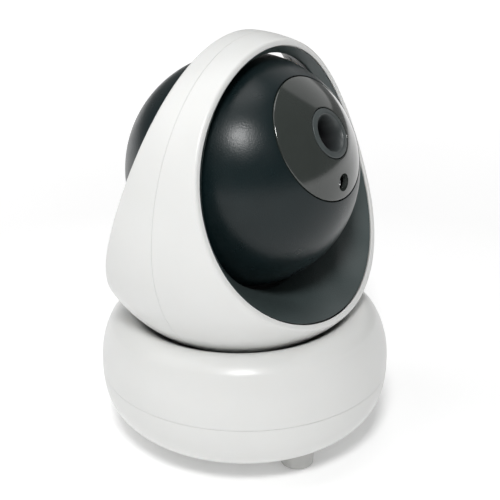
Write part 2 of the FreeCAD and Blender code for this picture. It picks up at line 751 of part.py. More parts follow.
def make_ball_rear_shell():
    shell = sphere_skin(BALL_R, BALL_R - WALL).common(half_space(False))
    room = Part.makeSphere(BALL_R - 0.5)
    for place in ball_screw_places():
        boss = cylinder(2.9, place + Vector(0, 0.1, 0), place + Vector(0, 20, 0)).common(room)
        well = cylinder(2.2, place + Vector(0, 4, 0), place + Vector(0, 40, 0))
        shell = shell.fuse(boss).cut([well, cylinder(1.2, place, place + Vector(0, 5, 0))])
    return shell.cut(bush_bore()).removeSplitter()


def make_bush(side):
    sleeve = cylinder(6.0, Vector(side * 30.0, 0, 0), Vector(side * 34.6, 0, 0))
    collar = cylinder(7.2, Vector(side * 29.2, 0, 0), Vector(side * 30.6, 0, 0))
    return sleeve.fuse(collar).cut(cylinder(PIVOT_R + GAP, Vector(-50, 0, 0), Vector(50, 0, 0)))


def make_ball_screw(place):
    seat = place + Vector(0, 4.0, 0)
    shank = cylinder(0.95, seat, seat - Vector(0, 10, 0))
    head = cylinder(1.9, seat, seat + Vector(0, 1.4, 0))
    bars = [box((-1.2, 4.8, -0.25), (1.2, 6, 0.25)), box((-0.25, 4.8, -1.2), (0.25, 6, 1.2))]
    for bar in bars:
        bar.translate(place)
    return shank.fuse(head).cut(bars)


def make_face_plate():
    plate = sphere_skin(BALL_R - 0.05, BALL_R - 1.8).common(forward(PLATE_R - GROOVE, 10, 40))
    plate = plate.cut(forward(BEZEL_R + GROOVE, 10, 40))
    return plate.cut(forward(SENSOR_HOLE_R, 20, 40, SENSOR_DROP))


def make_lens_bezel():
    body = Part.makeSphere(BALL_R - 0.05).common(forward(BEZEL_R, 26.6, 40))
    cone = Part.makeCone(3.3, 5.6, 7.6, Vector(0, -26.6, 0), Vector(0, -1, 0))
    mouth = forward(5.6, 34.1, 40)
    return body.cut([cone, mouth])


def make_lens_barrel():
    barrel = forward(6.0, 14.0, 26.5)
    return barrel.cut([forward(4.6, 15.2, 24.8), forward(3.2, 13, 27)])


def make_front_lens():
    dome = Part.makeSphere(5.0, Vector(0, -22.6, 0)).common(forward(3.15, 25.0, 30))
    return dome


def make_rear_lens():
    ball = Part.makeSphere(9.0, Vector(0, -26.0, 0)).common(forward(4.5, 16.0, 19.5))
    return ball


def make_lens_holder():
    holder = box((-8, -19.0, -8), (8, -12.7, 8))
    return holder.cut([forward(6.05, 13.9, 20), box((-5, -14.0, -5), (5, -12, 5))])


def make_sensor_board():
    board = box((-13, -12.6, -11), (13, -11.4, 11))
    return board


def make_image_sensor():
    return box((-3.6, -13.6, -3.0), (3.6, -12.65, 3.0))


def make_ir_board():
    board = forward(15.9, 23.0, 24.2)
    return board.cut(forward(8.4, 20, 30))


def led_places():
    start, sweep, count = -50.0, 280.0, 6
    angles = [math.radians(start + sweep * i / (count - 1)) for i in range(count)]
    return [Vector(12.0 * math.cos(a), 0, 12.0 * math.sin(a)) for a in angles]


def make_ir_led(place):
    can = cylinder(1.5, place + Vector(0, -24.2, 0), place + Vector(0, -27.6, 0))
    tip = Part.makeSphere(1.5, place + Vector(0, -27.6, 0))
    return can.fuse(tip)


def make_light_sensor():
    foot = Vector(0, -24.2, -13.0)
    can = cylinder(2.2, foot, foot + Vector(0, -3.4, 0))
    dome = Part.makeSphere(2.2, foot + Vector(0, -3.4, 0))
    return can.fuse(dome).common(Part.makeSphere(BALL_R - 1.9))


def make_card_socket():
    socket = box((-7.0, -31.2, -1.5), (7.0, -16.5, 1.5))
    socket = socket.cut(box((-5.8, -32, -0.6), (5.8, -17.5, 0.6)))
    board = box((-8.5, -30.5, 1.5), (8.5, -15.5, 2.5))
    parts = []
    for part in (socket, board):
        part.rotate(Vector(0, 0, 0), X_AXIS, CARD_SLOT_DROP)
        parts.append(part)
    return parts


def make_tilt_motor():
    body = cylinder(10.0, Vector(6, TILT_CENTRES, 0), Vector(19.4, TILT_CENTRES, 0))
    shaft = cylinder(1.0, Vector(19.4, TILT_CENTRES, 0), Vector(24.8, TILT_CENTRES, 0))
    return body.fuse(shaft)


def make_tilt_bracket():
    plate = box((19.42, 5.5, -11), (20.6, 30, 11)).common(Part.makeSphere(BALL_R - WALL - 0.05))
    return plate.cut(cylinder(3.2, Vector(18, TILT_CENTRES, 0), Vector(22, TILT_CENTRES, 0)))


def make_tilt_pinion():
    pinion = spur_gear(TILT_PINION_TEETH, 1.0 + GAP, 0.0, 180.0 / TILT_PINION_TEETH)
    pinion.rotate(Vector(0, 0, 0), Y_AXIS, 90)
    pinion.rotate(Vector(0, 0, 0), X_AXIS, 90)
    pinion.translate(Vector(TILT_GEAR_X, TILT_CENTRES, 0))
    return pinion


def build_ball():
    pieces = {
        "ball_front_shell": make_ball_front_shell(),
        "ball_rear_shell": make_ball_rear_shell(),
        "ball_screws": group([make_ball_screw(place) for place in ball_screw_places()]),
        "tilt_bush_right": make_bush(1),
        "tilt_bush_left": make_bush(-1),
        "face_plate": make_face_plate(),
        "lens_bezel": make_lens_bezel(),
        "lens_barrel": make_lens_barrel(),
        "front_lens": make_front_lens(),
        "rear_lens": make_rear_lens(),
        "lens_holder": make_lens_holder(),
        "sensor_board": make_sensor_board(),
        "image_sensor": make_image_sensor(),
        "ir_board": make_ir_board(),
        "ir_leds": group([make_ir_led(place) for place in led_places()]),
        "light_sensor": make_light_sensor(),
        "tilt_motor": make_tilt_motor(),
        "tilt_motor_bracket": make_tilt_bracket(),
        "tilt_pinion": make_tilt_pinion(),
    }
    pieces["card_socket"], pieces["card_board"] = make_card_socket()
    for name, shape in pieces.items():
        save(place_in_ball(shape), name)


build_base()
build_yoke()
build_ball()
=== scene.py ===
import json
import math

import bmesh
import bpy
from mathutils import Matrix, Vector


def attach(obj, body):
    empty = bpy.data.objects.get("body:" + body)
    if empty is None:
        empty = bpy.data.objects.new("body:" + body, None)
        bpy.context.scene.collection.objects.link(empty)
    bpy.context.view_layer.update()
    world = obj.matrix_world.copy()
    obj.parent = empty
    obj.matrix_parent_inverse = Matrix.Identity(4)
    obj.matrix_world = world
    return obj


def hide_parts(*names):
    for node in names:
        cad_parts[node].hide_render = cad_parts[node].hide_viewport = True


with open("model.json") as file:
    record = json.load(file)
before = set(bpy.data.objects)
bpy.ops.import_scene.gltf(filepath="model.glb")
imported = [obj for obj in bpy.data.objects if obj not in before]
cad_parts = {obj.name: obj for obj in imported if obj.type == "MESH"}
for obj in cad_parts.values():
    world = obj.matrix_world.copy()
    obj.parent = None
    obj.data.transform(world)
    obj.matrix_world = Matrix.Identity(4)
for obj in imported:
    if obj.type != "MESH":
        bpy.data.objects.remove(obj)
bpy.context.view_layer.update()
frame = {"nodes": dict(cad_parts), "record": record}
nodes = frame["nodes"]
slot_of = {part["node"]: part["material_slot"] for part in frame["record"]["subparts"]}


MM = 0.001

# ---------------------------------------------------------------- shape of the object, mm
BASE_R, BASE_WIDE_Z = 44.0, 25.0          # widest radius and the height of the widest line
BASE_RISE, BASE_RISE_POWER = 31.1, 2.16   # outline above that line
BASE_DROP, BASE_DROP_POWER = 23.8, 2.93   # outline below it
BASE_WALL = 2.2
BASE_BOTTOM_Z = 2.6                       # underside of the base, above the feet
BASE_SEAM_Z = 22.7                        # parting line between cover and shell
BASE_FACING = -21.9                       # the base's own front, degrees about Z from -Y
BASE_REAR = BASE_FACING + 90.0            # direction of the base's own rear, from +X
FOOT_ANGLES = (BASE_REAR - 60.0, BASE_REAR + 60.0, BASE_REAR + 180.0)
FOOT_CIRCLE_R = 30.4
PAN_Y = 1.44                              # the pan axis stands this far behind the base's centre
EGG_R, EGG_WIDE_Z, EGG_RISE, EGG_DROP = 46.06, 72.54, 52.24, 43.09
EGG_WALL = 1.8
EGG_FLOOR_Z = 31.5                        # flat underside of the egg
YOKE_FLOOR_Z = EGG_FLOOR_Z + 2.2          # inside of the egg's floor
DISH_GAP = 0.9                            # gap between the egg and the base's dish
DISH_FLOOR_Z = EGG_FLOOR_Z - 1.1
PARTING_Y = -1.7                          # plane between front and rear yoke shells
SEAM = 0.03                               # half-gap of the fine seams
RIM_Z = 80.0                              # height at which the rims' curves are centred
FRONT_RIM = (-16.22, 0.359, -0.00456)     # y of each rim: constant, slope and bend with height
REAR_RIM = (12.80, -0.335, 0.0029)
THROAT_TOP = (-6.4, 118.9)                # Y, Z of the front throat's edge at the top
THROAT_FOOT = (-13.4, 51.7)               # Y, Z of the front throat's edge at the bottom
BALL_R, BALL_Y, BALL_Z = 34.23, 0.62, 84.35
BALL_WALL = 2.0
BALL_CLEAR = 1.3                          # gap between the ball and the liners
REAR_FLARE = 10.0                         # the rear liner's hollow is centred this far behind the ball's
RELIEF_R = 28.6                           # two round reliefs thin the top of the hoop behind the ball
RELIEF_PLACE = (8.0, 10.0, 92.0)
LENS_TILT = 28.9                          # the lens looks up by this angle at rest
PLATE_ANGLE, BEZEL_ANGLE = 32.5, 12.2     # half-angles seen from the ball's centre
PLATE_R = BALL_R * math.sin(math.radians(PLATE_ANGLE))
BEZEL_R = BALL_R * math.sin(math.radians(BEZEL_ANGLE))
GROOVE = 0.3                              # visible groove round plate and bezel
SENSOR_DROP, SENSOR_HOLE_R = 24.2, 2.5    # angle below the lens axis, and radius
CARD_SLOT_DROP = 78.0                     # angle of the memory card slot below the lens axis

TURN = 192             # sides of the round pieces
BALL_TURN = 256        # sides of the ball and its plate
CRISP = 0.1            # rounding of edges that look sharp
CORNER_SHARE = 0.45    # most of a side that one rounded corner takes


# ---------------------------------------------------------------- materials
def new_material(name):
    material = bpy.data.materials.new(name)
    material.use_nodes = True
    tree = material.node_tree
    shader = tree.nodes["Principled BSDF"]
    return material, tree, shader


def noise(tree, scale, detail, roughness, coords):
    texture = tree.nodes.new("ShaderNodeTexNoise")
    texture.inputs["Scale"].default_value = scale
    texture.inputs["Detail"].default_value = detail
    texture.inputs["Roughness"].default_value = roughness
    tree.links.new(coords, texture.inputs["Vector"])
    return texture.outputs["Fac"]


def ramp(tree, value, low, high):
    """Spreads the middle of a noise value over two colours, or over two grey levels given as floats."""
    node = tree.nodes.new("ShaderNodeValToRGB")
    low_end, high_end = node.color_ramp.elements
    low_end.position = 0.3
    high_end.position = 0.7
    low_end.color = (low, low, low, 1) if isinstance(low, float) else (*low, 1)
    high_end.color = (high, high, high, 1) if isinstance(high, float) else (*high, 1)
    tree.links.new(value, node.inputs["Fac"])
    return node.outputs["Color"]


SMEAR_TO_MOTTLE = 2.7      # scale of the uneven gloss to that of the uneven colour
BRUSH_STRETCH = 14.0       # how much finer brushed grain is along Z


def surface(name, colour, spread=0.04, rough=0.4, rough_spread=0.06, grain=900.0, grain_depth=0.02,
            mottle=60.0, metal=0.0, specular=0.5, coat=0.0, coat_rough=0.05, scatter=0.0, brushed=False):
    """A plastic, rubber or metal with moulding mottle, fine grain and uneven gloss."""
    material, tree, shader = new_material(name)
    position = tree.nodes.new("ShaderNodeTexCoord").outputs["Object"]
    if brushed:
        stretch = tree.nodes.new("ShaderNodeMapping")
        stretch.inputs["Scale"].default_value = (1.0, 1.0, BRUSH_STRETCH)
        tree.links.new(position, stretch.inputs["Vector"])
        position = stretch.outputs["Vector"]
    cloud = noise(tree, mottle, detail=4.0, roughness=0.6, coords=position)
    darker = tuple(c * (1.0 - spread) for c in colour)
    lighter = tuple(min(c * (1.0 + spread), 1.0) for c in colour)
    tree.links.new(ramp(tree, cloud, darker, lighter), shader.inputs["Base Color"])
    smear = noise(tree, mottle * SMEAR_TO_MOTTLE, detail=3.0, roughness=0.5, coords=position)
    tree.links.new(ramp(tree, smear, max(rough - rough_spread, 0.0), rough + rough_spread),
                   shader.inputs["Roughness"])
    fine = noise(tree, grain, detail=2.0, roughness=0.5, coords=position)
    bump = tree.nodes.new("ShaderNodeBump")
    bump.inputs["Strength"].default_value = grain_depth
    bump.inputs["Distance"].default_value = 0.0002
    tree.links.new(fine, bump.inputs["Height"])
    tree.links.new(bump.outputs["Normal"], shader.inputs["Normal"])
    shader.inputs["Metallic"].default_value = metal
    shader.inputs["Specular IOR Level"].default_value = specular
    shader.inputs["Coat Weight"].default_value = coat
    shader.inputs["Coat Roughness"].default_value = coat_rough
    if scatter:
        shader.inputs["Subsurface Weight"].default_value = scatter
        shader.inputs["Subsurface Radius"].default_value = (1.0, 0.9, 0.8)
        shader.inputs["Subsurface Scale"].default_value = 0.0015
    return material


def glass(name, tint, body=(0.01, 0.012, 0.012)):
    """Coated lens glass, seen as a dark gloss with a tinted reflection."""
    material = surface(name, body, spread=0.2, rough=0.02, rough_spread=0.01, grain=400.0, grain_depth=0.0,
                       specular=0.9, coat=1.0, coat_rough=0.01)
    shader = material.node_tree.nodes["Principled BSDF"]
    shader.inputs["Specular Tint"].default_value = (*tint, 1)
    shader.inputs["Coat Tint"].default_value = (*tint, 1)
    return material


def circuit_board(name):
    """Green solder resist over copper tracks."""
    material, tree, shader = new_material(name)
    position = tree.nodes.new("ShaderNodeTexCoord").outputs["Object"]
    tracks = tree.nodes.new("ShaderNodeTexBrick")
    tracks.inputs["Scale"].default_value = 330.0
    tracks.inputs["Color1"].default_value = (0.012, 0.11, 0.04, 1)
    tracks.inputs["Color2"].default_value = (0.016, 0.15, 0.055, 1)
    tracks.inputs["Mortar"].default_value = (0.03, 0.22, 0.08, 1)
    tracks.inputs["Mortar Size"].default_value = 0.012
    tree.links.new(position, tracks.inputs["Vector"])
    tree.links.new(tracks.outputs["Color"], shader.inputs["Base Color"])
    bump = tree.nodes.new("ShaderNodeBump")
    bump.inputs["Strength"].default_value = 0.15
    bump.inputs["Distance"].default_value = 0.0001
    tree.links.new(tracks.outputs["Fac"], bump.inputs["Height"])
    tree.links.new(bump.outputs["Normal"], shader.inputs["Normal"])
    shader.inputs["Roughness"].default_value = 0.3
    shader.inputs["Coat Weight"].default_value = 0.4
    return material


materials = {
    "shell_white": surface("shell_white", (0.715, 0.719, 0.706), spread=0.012, rough=0.31, rough_spread=0.03,
                           grain=2600.0, grain_depth=0.05, mottle=35.0, specular=0.42, scatter=0.12),
    "foot_rubber": surface("foot_rubber", (0.60, 0.60, 0.585), spread=0.04, rough=0.62, grain=1800.0,
                           grain_depth=0.25, mottle=220.0, specular=0.3),
    "screw_steel": surface("screw_steel", (0.55, 0.55, 0.57), rough=0.3, metal=1.0, grain=2500.0,
                           grain_depth=0.08, mottle=500.0),
    "circuit_board": circuit_board("circuit_board"),
    "chip_black": surface("chip_black", (0.025, 0.025, 0.028), spread=0.2, rough=0.55, grain=3000.0,
                          grain_depth=0.2, mottle=300.0),
    "socket_steel": surface("socket_steel", (0.60, 0.60, 0.62), rough=0.28, metal=1.0, mottle=300.0,
                            brushed=True),
    "inner_grey": surface("inner_grey", (0.30, 0.30, 0.31), rough=0.45, grain=1500.0, grain_depth=0.08),
    "speaker_black": surface("speaker_black", (0.035, 0.035, 0.04), spread=0.3, rough=0.7, grain=1500.0,
                             grain_depth=0.4, mottle=400.0, specular=0.2),
    "brass_contact": surface("brass_contact", (0.78, 0.58, 0.27), rough=0.3, metal=1.0, mottle=400.0),
    "motor_steel": surface("motor_steel", (0.56, 0.56, 0.58), rough=0.34, metal=1.0, mottle=90.0,
                           brushed=True),
    "pinion_brass": surface("pinion_brass", (0.78, 0.60, 0.30), rough=0.32, metal=1.0, mottle=500.0),
    "insert_brass": surface("insert_brass", (0.76, 0.58, 0.28), rough=0.35, metal=1.0, mottle=350.0),
    "bearing_plastic": surface("bearing_plastic", (0.74, 0.72, 0.64), rough=0.4, grain=1200.0,
                               grain_depth=0.05, scatter=0.1),
    "gear_plastic": surface("gear_plastic", (0.70, 0.70, 0.66), rough=0.42, grain=1200.0,
                            grain_depth=0.06, scatter=0.1),
    "liner_grey": surface("liner_grey", (0.052, 0.070, 0.070), spread=0.10, rough=0.34, rough_spread=0.04,
                          grain=2600.0, grain_depth=0.22, mottle=70.0, specular=0.55),
    "pin_steel": surface("pin_steel", (0.62, 0.62, 0.64), rough=0.22, metal=1.0, mottle=300.0, brushed=True),
    "ball_black": surface("ball_black", (0.0042, 0.0108, 0.0122), spread=0.12, rough=0.30, rough_spread=0.03,
                          grain=2600.0, grain_depth=0.16, mottle=60.0, specular=0.31),
    "plate_gloss": surface("plate_gloss", (0.025, 0.030, 0.027), spread=0.10, rough=0.15, rough_spread=0.03,
                           grain=500.0, grain_depth=0.01, mottle=60.0, specular=0.5, coat=0.6,
                           coat_rough=0.10),
    "bezel_gloss": surface("bezel_gloss", (0.052, 0.062, 0.062), spread=0.12, rough=0.36, rough_spread=0.04,
                           grain=900.0, grain_depth=0.05, mottle=150.0, specular=0.5),
    "lens_barrel_black": surface("lens_barrel_black", (0.018, 0.018, 0.02), spread=0.2, rough=0.45,
                                 grain=1200.0, grain_depth=0.1, metal=0.3),
    "lens_glass": glass("lens_glass", (0.55, 1.0, 0.70)),
    "led_glass": glass("led_glass", (1.0, 1.0, 1.0), body=(0.35, 0.36, 0.38)),
    "bracket_steel": surface("bracket_steel", (0.56, 0.56, 0.58), rough=0.36, metal=1.0, mottle=90.0,
                             brushed=True),
}


SHADE_FULL_R, SHADE_END_R = 3.7, 6.0     # painted shade in the lens recess: full within the first radius, none beyond the second
# colour of the painted shade in the lens recess, nearly black
RECESS_SHADE_COLOUR = (0.006, 0.006, 0.007, 1)


def paint_recess_shade(material):
    """Paints shade into the bezel inside its mouth, darker nearer the lens axis, by distance from that axis.
    """
    tree = material.node_tree
    shader = tree.nodes["Principled BSDF"]
    colour = shader.inputs["Base Color"].links[0].from_socket
    tilt = math.radians(LENS_TILT)
    from_ball = tree.nodes.new("ShaderNodeVectorMath")
    from_ball.operation = "SUBTRACT"
    from_ball.inputs[1].default_value = (0.0, BALL_Y * MM, BALL_Z * MM)
    tree.links.new(tree.nodes.new("ShaderNodeTexCoord").outputs["Object"], from_ball.inputs[0])
    across = tree.nodes.new("ShaderNodeVectorMath")
    across.operation = "CROSS_PRODUCT"
    across.inputs[1].default_value = (0.0, -math.cos(tilt), math.sin(tilt))
    tree.links.new(from_ball.outputs["Vector"], across.inputs[0])
    reach = tree.nodes.new("ShaderNodeVectorMath")
    reach.operation = "LENGTH"
    tree.links.new(across.outputs["Vector"], reach.inputs[0])
    share = tree.nodes.new("ShaderNodeMapRange")
    share.inputs["From Min"].default_value = SHADE_FULL_R * MM
    share.inputs["From Max"].default_value = SHADE_END_R * MM
    tree.links.new(reach.outputs["Value"], share.inputs["Value"])
    # blends the painted shade into the bezel's own colour
    mix = tree.nodes.new("ShaderNodeMix")
    mix.data_type = "RGBA"
    mix.inputs["A"].default_value = RECESS_SHADE_COLOUR
    tree.links.new(share.outputs["Result"], mix.inputs["Factor"])
    tree.links.new(colour, mix.inputs["B"])
    tree.links.new(mix.outputs["Result"], shader.inputs["Base Color"])


# painted shade: darkens the bezel's recess where the shadow inside it falls
paint_recess_shade(materials["bezel_gloss"])

for name, obj in nodes.items():
    obj.data.materials.clear()
    obj.data.materials.append(materials[slot_of[name]])
    for polygon in obj.data.polygons:
        polygon.material_index = 0


# ---------------------------------------------------------------- outlines
BISECTIONS = 36
BEYOND_EGG = 70.0      # farther from the ball's axis than the egg reaches
EGG_DEPTH = 46.0       # just inside the egg's radius


def spaced(start, end, count):
    """count + 1 evenly spaced values from start to end."""
    return [start + (end - start) * k / count for k in range(count + 1)]


def polar(radius, degrees):
    """(x, y) at a distance and in a direction from the origin."""
    a = math.radians(degrees)
    return radius * math.cos(a), radius * math.sin(a)


def base_radius(z, inset=0.0):
    """Radius of the base's outline, or of a surface inset from it."""
    above = z >= BASE_WIDE_Z
    height = (BASE_RISE if above else BASE_DROP) - inset
    power = BASE_RISE_POWER if above else BASE_DROP_POWER
    share = min(abs(z - BASE_WIDE_Z) / height, 1.0)
    return (BASE_R - inset) * (1.0 - share ** power) ** (1.0 / power)


def egg_level(x, y, z, inset):
    """Below 1 inside the yoke's egg, above 1 outside it."""
    height = (EGG_RISE if z > EGG_WIDE_Z else EGG_DROP) - inset
    radius = EGG_R - inset
    return ((z - EGG_WIDE_Z) / height) ** 2 + (x * x + (y - PAN_Y) ** 2) / radius ** 2


def bisect(low, high, is_low):
    """The place between low and high where is_low stops being true."""
    for _ in range(BISECTIONS):
        middle = (low + high) / 2.0
        if is_low(middle):
            low = middle
        else:
            high = middle
    return (low + high) / 2.0


def egg_reach(phi, y, inset):
    """Distance from the ball's axis line to the egg, in the direction phi from straight up."""
    side, up = math.sin(phi), math.cos(phi)
    return bisect(0.0, BEYOND_EGG, lambda r: egg_level(r * side, y, BALL_Z + r * up, inset) < 1.0)


def rim_y(rim, z):
    dz = z - RIM_Z
    return rim[0] + rim[1] * dz + rim[2] * dz * dz


def rim_place(rim, phi, inset):
    """(reach, y) of the rim on the egg's surface, or on a surface inset from it."""
    front = rim is FRONT_RIM
    up = math.cos(phi)

    def short(depth):
        y = -depth if front else depth
        inside = egg_level(0.0, y, BALL_Z, inset) < 1.0
        edge = rim_y(rim, BALL_Z + egg_reach(phi, y, inset) * up)
        return inside and (y > edge if front else y < edge)

    depth = bisect(0.0, EGG_DEPTH, short)
    y = -depth if front else depth
    return egg_reach(phi, y, inset), y


# ---------------------------------------------------------------- mesh making
MERGE_WITHIN = 1e-6        # points nearer than this are one point, m
NO_LENGTH = 1e-9


def lengths(path):
    """Distance along the path at each of its points."""
    out = [0.0]
    for a, b in zip(path, path[1:]):
        out.append(out[-1] + math.dist(a, b))
    return out


def at_length(path, marks, where):
    """The point at a distance along the path, whose points lie at the distances marks."""
    for i in range(1, len(path)):
        if where <= marks[i] or i == len(path) - 1:
            span = marks[i] - marks[i - 1]
            share = (where - marks[i - 1]) / span if span > NO_LENGTH else 0.0
            share = min(max(share, 0.0), 1.0)
            return tuple(a + (b - a) * share for a, b in zip(path[i - 1], path[i]))


def rounded_loop(sides, corner_points=5):
    """A closed section from its sides, each given as (points, rounding at its end, number of steps)."""
    loop = []
    total = len(sides)
    marks = [lengths(points) for points, _, _ in sides]
    cut = [min(rounding, CORNER_SHARE * marks[i][-1], CORNER_SHARE * marks[(i + 1) % total][-1])
           for i, (_, rounding, _) in enumerate(sides)]
    for i, (points, _, count) in enumerate(sides):
        end = marks[i][-1] - cut[i]
        for where in spaced(cut[i - 1], end, count):
            loop.append(at_length(points, marks[i], where))
        following = (i + 1) % total
        before = at_length(points, marks[i], end)
        after = at_length(sides[following][0], marks[following], cut[i])
        corner = points[-1]
        for k in range(1, corner_points):
            t = k / corner_points
            loop.append(tuple((1 - t) ** 2 * p + 2 * t * (1 - t) * q + t * t * s
                              for p, q, s in zip(before, corner, after)))
    return loop


def mesh_piece(name, rings, body, slot, replaced, closed_section=True, sharp=None):
    """A smooth piece from rings of points in mm. Neighbouring rings are joined, the last to the first."""
    bm = bmesh.new()
    rows = [[bm.verts.new(Vector(p) * MM) for p in ring] for ring in rings]
    count = len(rows[0])
    for i, row in enumerate(rows):
        following = rows[(i + 1) % len(rows)]
        for j in range(count if closed_section else count - 1):
            k = (j + 1) % count
            bm.faces.new((row[j], row[k], following[k], following[j]))
    bmesh.ops.remove_doubles(bm, verts=bm.verts, dist=MERGE_WITHIN)
    bmesh.ops.recalc_face_normals(bm, faces=bm.faces)
    mesh = bpy.data.meshes.new(name)
    bm.to_mesh(mesh)
    bm.free()
    piece = bpy.data.objects.new(name, mesh)
    bpy.context.scene.collection.objects.link(piece)
    mesh.materials.append(materials[slot])
    for polygon in mesh.polygons:
        polygon.use_smooth = True
    if sharp:
        mesh.set_sharp_from_angle(angle=math.radians(sharp))
    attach(piece, body)
    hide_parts(*replaced)
    return piece


def turned_upright(section, turn, x=0.0, y=0.0):
    """Rings of a section (radius, z) turned about an upright axis."""
    rings = []
    for i in range(turn):
        a = 2 * math.pi * i / turn
        rings.append([(x + r * math.cos(a), y + r * math.sin(a), z) for r, z in section])
    return rings


def around_ball(section_at):
    """Rings of a section (reach, y) that changes with its direction about the ball's line along Y."""
    rings = []
    for i in range(TURN):
        phi = 2 * math.pi * i / TURN
        rings.append([(reach * math.sin(phi), y, BALL_Z + reach * math.cos(phi))
                      for reach, y in section_at(phi)])
    return rings


def tilt_up(point):
    """From the ball's own frame, lens along -Y, to where it stands at rest."""
    a = math.radians(-LENS_TILT)
    x, y, z = point
    return (x, y * math.cos(a) - z * math.sin(a) + BALL_Y, y * math.sin(a) + z * math.cos(a) + BALL_Z)


def lathe(name, section, slot, replaced, turn=BALL_TURN, closed=True, sharp=None):
    """A piece of the ball, turned about the lens axis. The section is (radius, distance ahead)."""
    rings = []
    for i in range(turn):
        a = 2 * math.pi * i / turn
        rings.append([tilt_up((r * math.cos(a), -h, r * math.sin(a))) for r, h in section])
    return mesh_piece(name, rings, "ball", slot, replaced, closed, sharp)


def on_sphere(radius, degrees):
    """(radius, height) of a sphere's point at an angle from the lens axis."""
    a = math.radians(degrees)
    return radius * math.sin(a), radius * math.cos(a)


def sphere_arc(radius, start, end, count):
    return [on_sphere(radius, angle) for angle in spaced(start, end, count)]


def height_on(sphere, radius):
    """Height at which a sphere is this wide about the lens axis."""
    return math.sqrt(sphere ** 2 - radius ** 2)


def finish_cutter(name, bm, middle, aim=None):
    """A hidden object from a mesh made round the origin, turned by aim and moved to middle."""
    place = Matrix.Translation(middle)
    bmesh.ops.transform(bm, matrix=place @ aim if aim else place, verts=bm.verts)
    mesh = bpy.data.meshes.new(name)
    bm.to_mesh(mesh)
    bm.free()
    return bpy.data.objects.new(name, mesh)


def round_cutter(name, radius, start, end, sides=48):
    """A hidden cylinder between two points in mm, used to bore a piece."""
    start, end = Vector(start) * MM, Vector(end) * MM
    bm = bmesh.new()
    bmesh.ops.create_cone(bm, cap_ends=True, segments=sides, radius1=radius * MM, radius2=radius * MM,
                          depth=(end - start).length)
    aim = (end - start).to_track_quat("Z", "Y").to_matrix().to_4x4()
    return finish_cutter(name, bm, (start + end) / 2, aim)


def box_cutter(name, size, start, end, across):
    """A hidden bar between two points in mm. The first side of its section lies along across."""
    start, end = Vector(start) * MM, Vector(end) * MM
    bm = bmesh.new()
    bmesh.ops.create_cube(bm, size=1.0)
    bmesh.ops.scale(bm, vec=(size[0] * MM, size[1] * MM, (end - start).length), verts=bm.verts)
    z = (end - start).normalized()
    x = Vector(across).normalized()
    aim = Matrix((x, z.cross(x), z)).transposed().to_4x4()
    return finish_cutter(name, bm, (start + end) / 2, aim)


def hoop_reliefs():
    """Two round cutters that thin the top of the hoop behind the ball."""
    tools = []
    for side in (-1, 1):
        bm = bmesh.new()
        bmesh.ops.create_uvsphere(bm, u_segments=160, v_segments=96, radius=RELIEF_R * MM)
        place = Vector((side * RELIEF_PLACE[0], RELIEF_PLACE[1], RELIEF_PLACE[2])) * MM
        tools.append(finish_cutter("relief", bm, place))
    return tools


def bore(piece, cutters):
    """Cuts the cutters out of the piece's mesh, all at once, and removes them."""
    joined = bmesh.new()
    for tool in cutters:
        joined.from_mesh(tool.data)
        bpy.data.objects.remove(tool)
    mesh = bpy.data.meshes.new("cutters")
    joined.to_mesh(mesh)
    joined.free()
    tool = bpy.data.objects.new("cutters", mesh)
    bpy.context.scene.collection.objects.link(tool)
    modifier = piece.modifiers.new("bore", "BOOLEAN")
    modifier.object = tool
    modifier.operation = "DIFFERENCE"
    modifier.solver = "EXACT"
    bpy.context.view_layer.update()
    result = bpy.data.meshes.new_from_object(piece.evaluated_get(bpy.context.evaluated_depsgraph_get()))
    piece.modifiers.clear()
    materials_kept = list(piece.data.materials)
    piece.data = result
    result.materials.clear()
    for material in materials_kept:
        result.materials.append(material)
    for polygon in result.polygons:
        polygon.material_index = 0
        polygon.use_smooth = True
    result.set_sharp_from_angle(angle=math.radians(35.0))
    bpy.data.objects.remove(tool)


# ---------------------------------------------------------------- base
DISH_FLOOR_H = 1.8
DISH_EDGE_ZS = (40.0, 48.0)               # the dish meets the outline between these heights
DISH_EDGE_ROUND = 8.0                     # run of the curve that rounds that edge
DISH_FOOT_ROUND = 0.3
SPINDLE_HOLE_R = 12.0
SHELL_INNER_ZS = (33.0, 30.0, 27.0, 25.0)
COVER_INNER_ZS = (18.0, 14.0, 10.0, 7.0, 5.5)
COVER_FLOOR_Z = 4.6
COVER_EDGE_ROUND = 2.0
TRIPOD_HOLE_R = 4.5
FOOT_POCKET_R, FOOT_POCKET_ZS = 5.25, (-1.0, 7.5)
SPEAKER_PLACE_R, SPEAKER_ANGLE = 17.0, BASE_REAR - 120.0
GRILLE_RINGS = ((1, 0.0), (6, 3.0), (12, 6.0))       # number of holes and radius of each ring
GRILLE_HOLE_R = 0.8
RESET_PLACE_R, RESET_HOLE_R = 15.0, 2.6
SOCKET_Z, SOCKET_MOUTH = 18.7, (8.6, 3.4)
SOCKET_REACH = (38.0, 50.0)               # the socket's notch is cut between these radii
THROUGH_FLOOR_Z = 8.0                     # cutters that start at 0 and end here pass the cover's floor


def dish_radius(z):
    """Radius of the base's dish about the pan axis."""
    level = (EGG_WIDE_Z - z) / (EGG_DROP + DISH_GAP)
    return (EGG_R + DISH_GAP) * math.sqrt(max(1.0 - level * level, 0.0))


